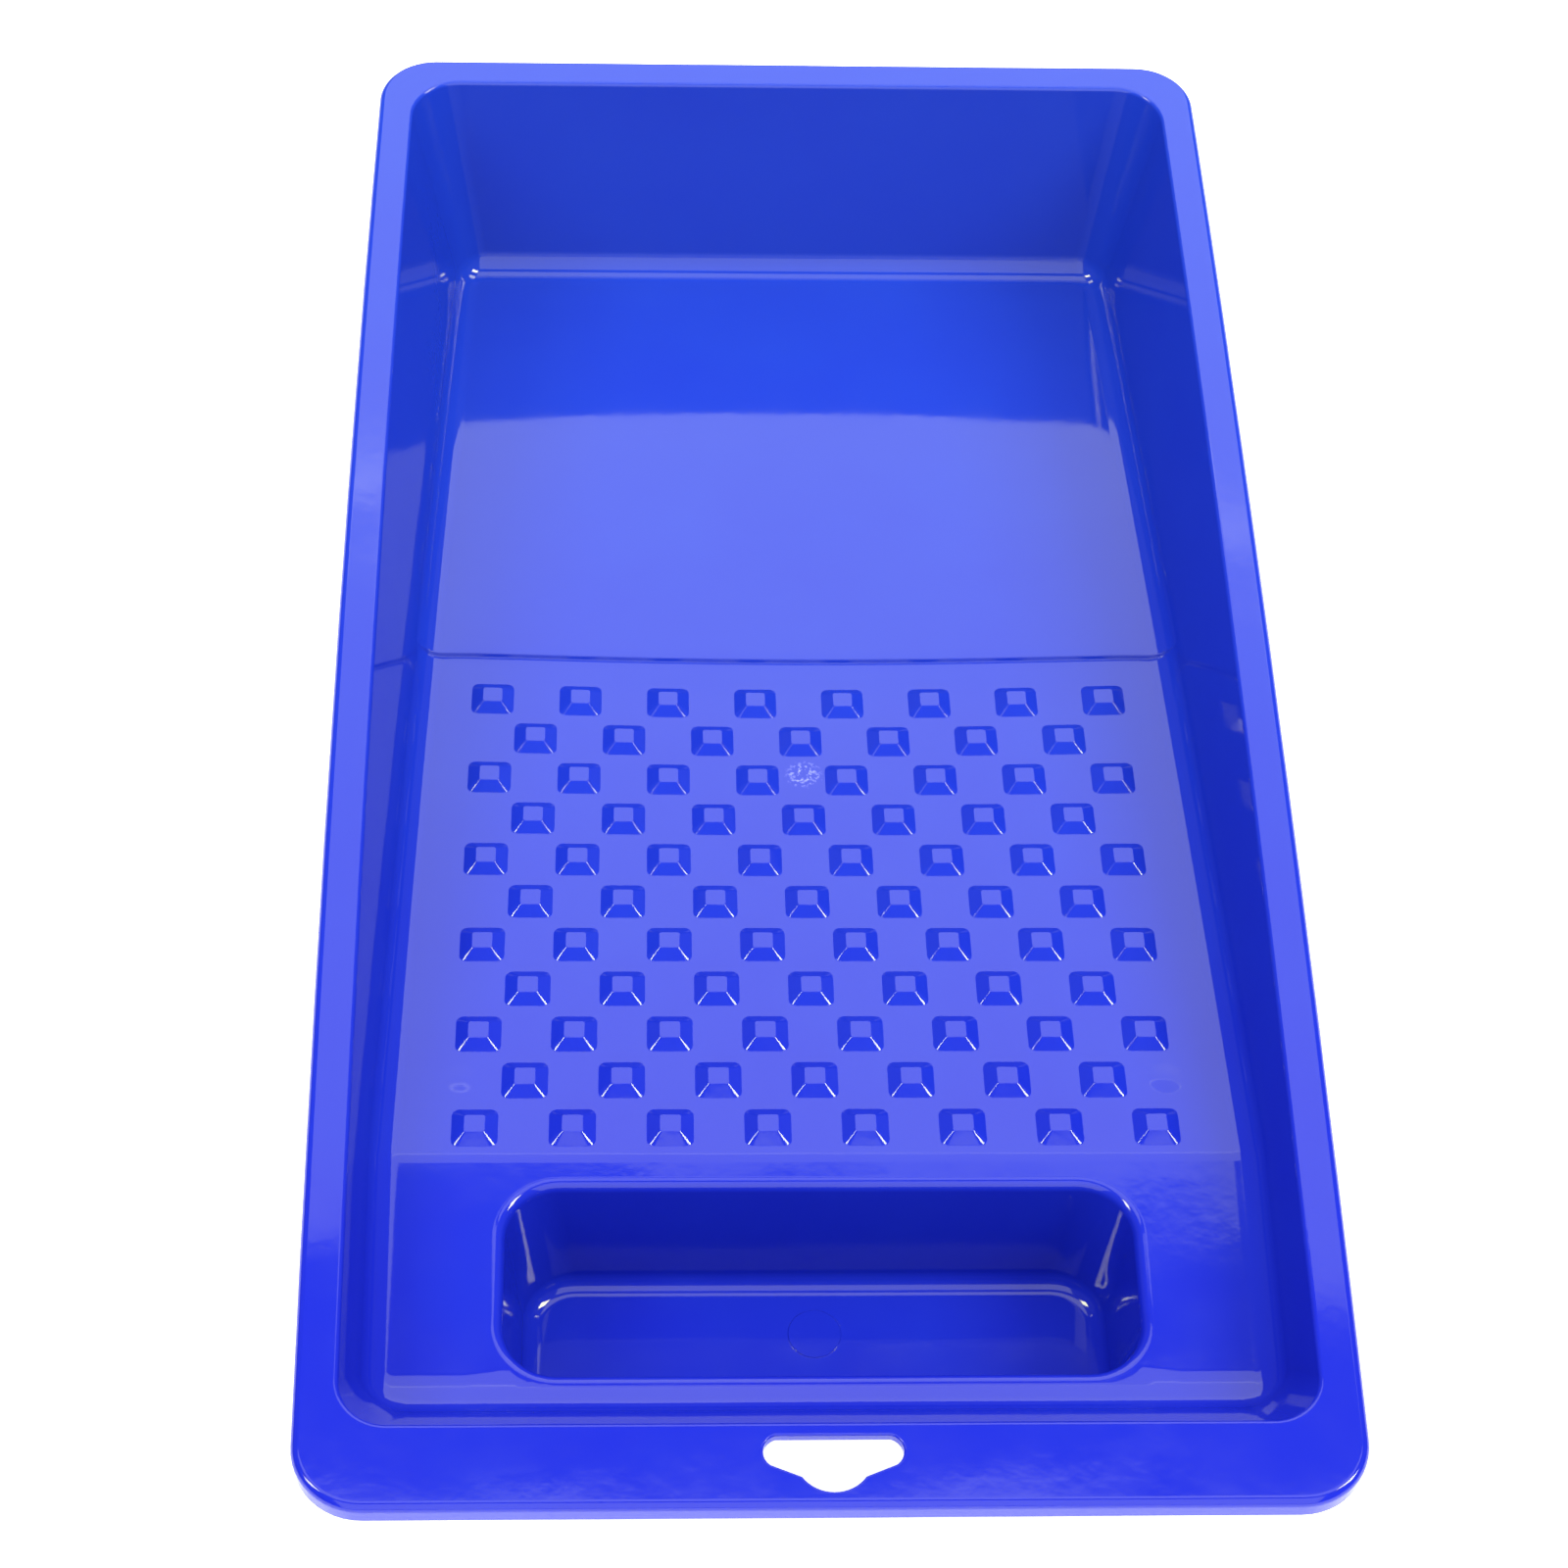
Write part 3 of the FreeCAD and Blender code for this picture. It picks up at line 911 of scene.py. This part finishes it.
def build_hole(contact):
    """The near flange round the hang hole, and the hole's own wall."""
    block = [[contact[("end", -1, x)][i] for x in HOLE_X] for i in (*HOLE_STRIPS, HOLE_STRIPS.stop)]
    boundary, cuts = rectangle(block, 0, len(HOLE_STRIPS), 0, len(HOLE_X) - 1)
    points = hole_outline()[::-1]
    count = len(points)
    outward = []
    for i in range(count):
        run = unit(points[(i + 1) % count] - points[i - 1])
        outward.append(np.array([run[1], -run[0]]))
    section = []
    for degrees in (90, 67.5, 45, 22.5, 0):
        a = math.radians(degrees)
        section.append((HOLE_EDGE * (1 - math.cos(a)), HEIGHT - HOLE_EDGE * (1 - math.sin(a)), a))
    section += [
        (0.0, HEIGHT - WALL + UNDER_EDGE, 0.0),
        (UNDER_EDGE, HEIGHT - WALL, math.radians(-90)),
    ]
    rings = []
    for out, z, angle in section:
        ring = []
        for p, m in zip(points, outward):
            x, y = p + m * out
            normal = (-m[0] * math.cos(angle), -m[1] * math.cos(angle), math.sin(angle))
            ring.append(skin.vertex((x, y, z), normal))
        rings.append(ring)
    for top, under in zip(rings[0], rings[-1]):
        skin.below[top] = under
    middle = np.array([0.0, HOLE_Y - 4.0])

    def nearest(vertex):
        target = unit(skin.points[vertex][:2] - middle)
        return max(range(count), key=lambda i: unit(points[i] - middle) @ target)

    fill_band(["rim_near"] * 4, boundary, cuts, rings[0], [nearest(boundary[c]) for c in cuts])
    for outer, inner in zip(rings, rings[1:]):
        for i in range(count):
            j = (i + 1) % count
            skin.face("rim_near", [outer[i], outer[j], inner[j], inner[i]])


# ---------------------------------------------------------------- materials


def new_material(name):
    material = bpy.data.materials.new(name)
    material.use_nodes = True
    nodes = material.node_tree.nodes
    nodes.clear()
    output = nodes.new("ShaderNodeOutputMaterial")
    shader = nodes.new("ShaderNodeBsdfPrincipled")
    material.node_tree.links.new(shader.outputs["BSDF"], output.inputs["Surface"])
    return material, nodes, material.node_tree.links, shader


def noise(nodes, links, place, scale, detail):
    made = nodes.new("ShaderNodeTexNoise")
    made.inputs["Scale"].default_value = scale
    made.inputs["Detail"].default_value = detail
    links.new(place.outputs["Object"], made.inputs["Vector"])
    return made


def ramp(nodes, links, source, stops):
    made = nodes.new("ShaderNodeValToRGB")
    made.color_ramp.elements[0].position = stops[0][0]
    made.color_ramp.elements[0].color = stops[0][1]
    made.color_ramp.elements[1].position = stops[1][0]
    made.color_ramp.elements[1].color = stops[1][1]
    links.new(source, made.inputs["Fac"])
    return made


def grey(value):
    return (value, value, value, 1.0)


def blue_plastic(name, scuffed=False):
    """Glossy blue plastic with painted light: paler and greener towards the well, darker at the near end,
    with slight mottling, uneven gloss and orange peel.
    """
    material, nodes, links, shader = new_material(name)
    place = nodes.new("ShaderNodeTexCoord")
    mottle = noise(nodes, links, place, 45.0, 3.0)
    # Painted light: the base colour is darker at the near end and paler and greener towards the well, a
    # painted glow and shade along the tray; the plastic itself is one plain blue with a random mottle.
    apart = nodes.new("ShaderNodeSeparateXYZ")
    links.new(place.outputs["Object"], apart.inputs["Vector"])
    along = nodes.new("ShaderNodeMapRange")
    along.inputs["From Min"].default_value = -0.12
    along.inputs["From Max"].default_value = 0.14
    along.inputs["To Min"].default_value = -0.05
    along.inputs["To Max"].default_value = 0.75
    links.new(apart.outputs["Y"], along.inputs["Value"])
    mottle_and_painted_glow = nodes.new("ShaderNodeMath")
    mottle_and_painted_glow.operation = "MULTIPLY_ADD"
    mottle_and_painted_glow.inputs[1].default_value = 0.3
    links.new(mottle.outputs["Fac"], mottle_and_painted_glow.inputs[0])
    links.new(along.outputs["Result"], mottle_and_painted_glow.inputs[2])
    # The two blues of the painted glow and shade: the darker one at the near end, the paler one towards the
    # well.
    colour = ramp(nodes, links, mottle_and_painted_glow.outputs["Value"],
                  [(0.1, (0.010, 0.020, 0.41, 1.0)), (0.95, (0.016, 0.056, 0.45, 1.0))])
    gloss = noise(nodes, links, place, 120.0, 4.0)
    rough = ramp(nodes, links, gloss.outputs["Fac"], [(0.3, grey(0.045)), (0.75, grey(0.085))])
    links.new(rough.outputs["Color"], shader.inputs["Roughness"])
    peel = noise(nodes, links, place, 420.0, 2.0)
    bump = nodes.new("ShaderNodeBump")
    bump.inputs["Strength"].default_value = 0.03
    bump.inputs["Distance"].default_value = 0.0002
    links.new(peel.outputs["Fac"], bump.inputs["Height"])
    links.new(bump.outputs["Normal"], shader.inputs["Normal"])
    shader.inputs["IOR"].default_value = 1.5
    shader.inputs["Specular Tint"].default_value = (1.0, 1.0, 0.4, 1.0)
    if not scuffed:
        links.new(colour.outputs["Color"], shader.inputs["Base Color"])
        return material

    # White stress marks at the gate, beside the middle of the ramp plate.
    centre = nodes.new("ShaderNodeVectorMath")
    centre.operation = "SUBTRACT"
    centre.inputs[1].default_value = (GATE[0] / MM, GATE[1] / MM, floor_z(*GATE) / MM)
    links.new(place.outputs["Object"], centre.inputs[0])
    distance = nodes.new("ShaderNodeVectorMath")
    distance.operation = "LENGTH"
    links.new(centre.outputs["Vector"], distance.inputs[0])
    near = nodes.new("ShaderNodeMapRange")
    near.inputs["From Min"].default_value = 0.0012
    near.inputs["From Max"].default_value = 0.0034
    near.inputs["To Min"].default_value = 1.0
    near.inputs["To Max"].default_value = 0.0
    links.new(distance.outputs["Value"], near.inputs["Value"])
    streaks = noise(nodes, links, place, 1500.0, 3.0)
    broken = ramp(nodes, links, streaks.outputs["Fac"], [(0.52, grey(0.0)), (0.66, grey(0.8))])
    both = nodes.new("ShaderNodeMath")
    both.operation = "MULTIPLY"
    links.new(near.outputs["Result"], both.inputs[0])
    links.new(broken.outputs["Color"], both.inputs[1])
    mixed = nodes.new("ShaderNodeMix")
    mixed.data_type = "RGBA"
    links.new(both.outputs["Value"], mixed.inputs["Factor"])
    links.new(colour.outputs["Color"], mixed.inputs["A"])
    mixed.inputs["B"].default_value = (0.42, 0.46, 0.86, 1.0)
    links.new(mixed.outputs["Result"], shader.inputs["Base Color"])
    return material


def pale_floor():
    material, nodes, links, shader = new_material("pale_floor")
    place = nodes.new("ShaderNodeTexCoord")
    grain = noise(nodes, links, place, 12.0, 2.0)
    colour = ramp(nodes, links, grain.outputs["Fac"], [(0.3, grey(0.93)), (0.7, grey(0.95))])
    links.new(colour.outputs["Color"], shader.inputs["Base Color"])
    shader.inputs["Roughness"].default_value = 0.9
    shader.inputs["Emission Color"].default_value = grey(1.0)
    shader.inputs["Emission Strength"].default_value = 0.8
    return material


# ---------------------------------------------------------------- pieces


def make_piece(name, faces, material):
    """One closed piece: its faces of the two skins, and walls across the material where it was cut off."""
    edges = set()
    for loop in faces:
        edges |= {(loop[i - 1], loop[i]) for i in range(len(loop))}
    cuts = []
    for a, b in sorted(edges):
        if (b, a) not in edges and a in skin.below and b in skin.below:
            loop = [b, a, skin.below[a], skin.below[b]]
            cuts.append([v for i, v in enumerate(loop) if v != loop[i - 1]])
    used = sorted({v for loop in faces + cuts for v in loop})
    index = {v: i for i, v in enumerate(used)}
    mesh = bpy.data.meshes.new(name)
    mesh.from_pydata(
        [skin.points[v] / MM for v in used],
        [],
        [[index[v] for v in loop] for loop in faces + cuts],
    )
    mesh.polygons.foreach_set("use_smooth", [True] * len(mesh.polygons))
    normals = [tuple(skin.normals[v]) for loop in faces for v in loop]
    for polygon in mesh.polygons[len(faces):]:
        normals += [tuple(polygon.normal)] * polygon.loop_total
    mesh.normals_split_custom_set(normals)
    mesh.materials.append(material)
    piece = bpy.data.objects.new(name + "_moulding", mesh)
    bpy.context.scene.collection.objects.link(piece)
    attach(piece, "root")
    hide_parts(name)
    return piece


def build_tray():
    contact = build_basin()
    mouth, cuts = build_floors(contact)
    build_trough(mouth, cuts)
    build_hole(contact)
    skin.finish()
    plain = blue_plastic("blue_plastic")
    scuffed = blue_plastic("blue_plastic_scuffed", scuffed=True)
    for name in sorted(skin.faces):
        make_piece(name, skin.faces[name], scuffed if name == "ramp_plate" else plain)


# ---------------------------------------------------------------- studio


def build_floor():
    mesh = bpy.data.meshes.new("studio_floor")
    half = 3.0
    corners = [(-half, -half, 0), (half, -half, 0), (half, half, 0), (-half, half, 0)]
    mesh.from_pydata(corners, [], [(0, 1, 2, 3)])
    mesh.materials.append(pale_floor())
    floor = bpy.data.objects.new("studio_floor", mesh)
    bpy.context.scene.collection.objects.link(floor)


def softbox(name, azimuth, elevation, distance, size, radiance):
    """Rectangular light that faces the tray. Azimuth 0 is the far side, and 90 the right side."""
    data = bpy.data.lights.new(name, "AREA")
    data.shape = "RECTANGLE"
    data.size, data.size_y = size
    data.energy = radiance * math.pi * size[0] * size[1]
    light = bpy.data.objects.new(name, data)
    a, e = math.radians(azimuth), math.radians(elevation)
    back = Vector((math.sin(a) * math.cos(e), math.cos(a) * math.cos(e), math.sin(e)))
    light.location = back * distance
    light.rotation_mode = "QUATERNION"
    light.rotation_quaternion = back.to_track_quat("Z", "Y")
    bpy.context.scene.collection.objects.link(light)


def build_studio():
    build_floor()
    softbox("far_softbox", 4, 35, 6.0, (4.6, 3.0), 2.0)
    softbox("high_softbox", 5, 54.95, 6.0, (4.6, 1.46), 1.7)
    softbox("top_softbox", 0, 80.4, 6.0, (6.0, 3.1), 2.0)
    softbox("near_softbox", 180, 38, 6.0, (6.4, 8.0), 1.7)
    softbox("left_light", -95, 51, 6.0, (0.9, 2.0), 22.0)
    softbox("right_light", 95, 50, 6.0, (1.1, 2.4), 26.0)
    world = bpy.data.worlds.new("studio")
    bpy.context.scene.world = world
    world.use_nodes = True
    nodes, links = world.node_tree.nodes, world.node_tree.links
    nodes.clear()
    output = nodes.new("ShaderNodeOutputWorld")
    mixed = nodes.new("ShaderNodeMixShader")
    path = nodes.new("ShaderNodeLightPath")
    lighting = nodes.new("ShaderNodeBackground")
    lighting.inputs["Color"].default_value = (0.15, 0.17, 0.60, 1.0)
    backdrop = nodes.new("ShaderNodeBackground")
    backdrop.inputs["Color"].default_value = grey(0.95)
    links.new(path.outputs["Is Camera Ray"], mixed.inputs["Fac"])
    links.new(lighting.outputs["Background"], mixed.inputs[1])
    links.new(backdrop.outputs["Background"], mixed.inputs[2])
    links.new(mixed.outputs["Shader"], output.inputs["Surface"])


def build_camera():
    """Camera that looks down on the tray from beyond its near end, slightly from the left."""
    data = bpy.data.cameras.new("camera")
    data.sensor_width = 36.0
    data.lens = 81.5
    data.shift_x = -0.0007
    data.shift_y = 0.0071
    data.clip_start = 0.01
    camera = bpy.data.objects.new("camera", data)
    forward = Vector((0.04016, 0.59756, -0.80082)).normalized()
    right = Vector((0.99919, -0.02265, 0.0332))
    right = (right - forward * right.dot(forward)).normalized()
    up = right.cross(forward)
    place = Vector((-0.02644, -0.35598, 0.48570))
    camera.matrix_world = Matrix((
        (right.x, up.x, -forward.x, place.x),
        (right.y, up.y, -forward.y, place.y),
        (right.z, up.z, -forward.z, place.z),
        (0.0, 0.0, 0.0, 1.0),
    ))
    bpy.context.scene.collection.objects.link(camera)
    bpy.context.scene.camera = camera
    bpy.context.scene.view_settings.view_transform = "Standard"


build_tray()
build_studio()
build_camera()
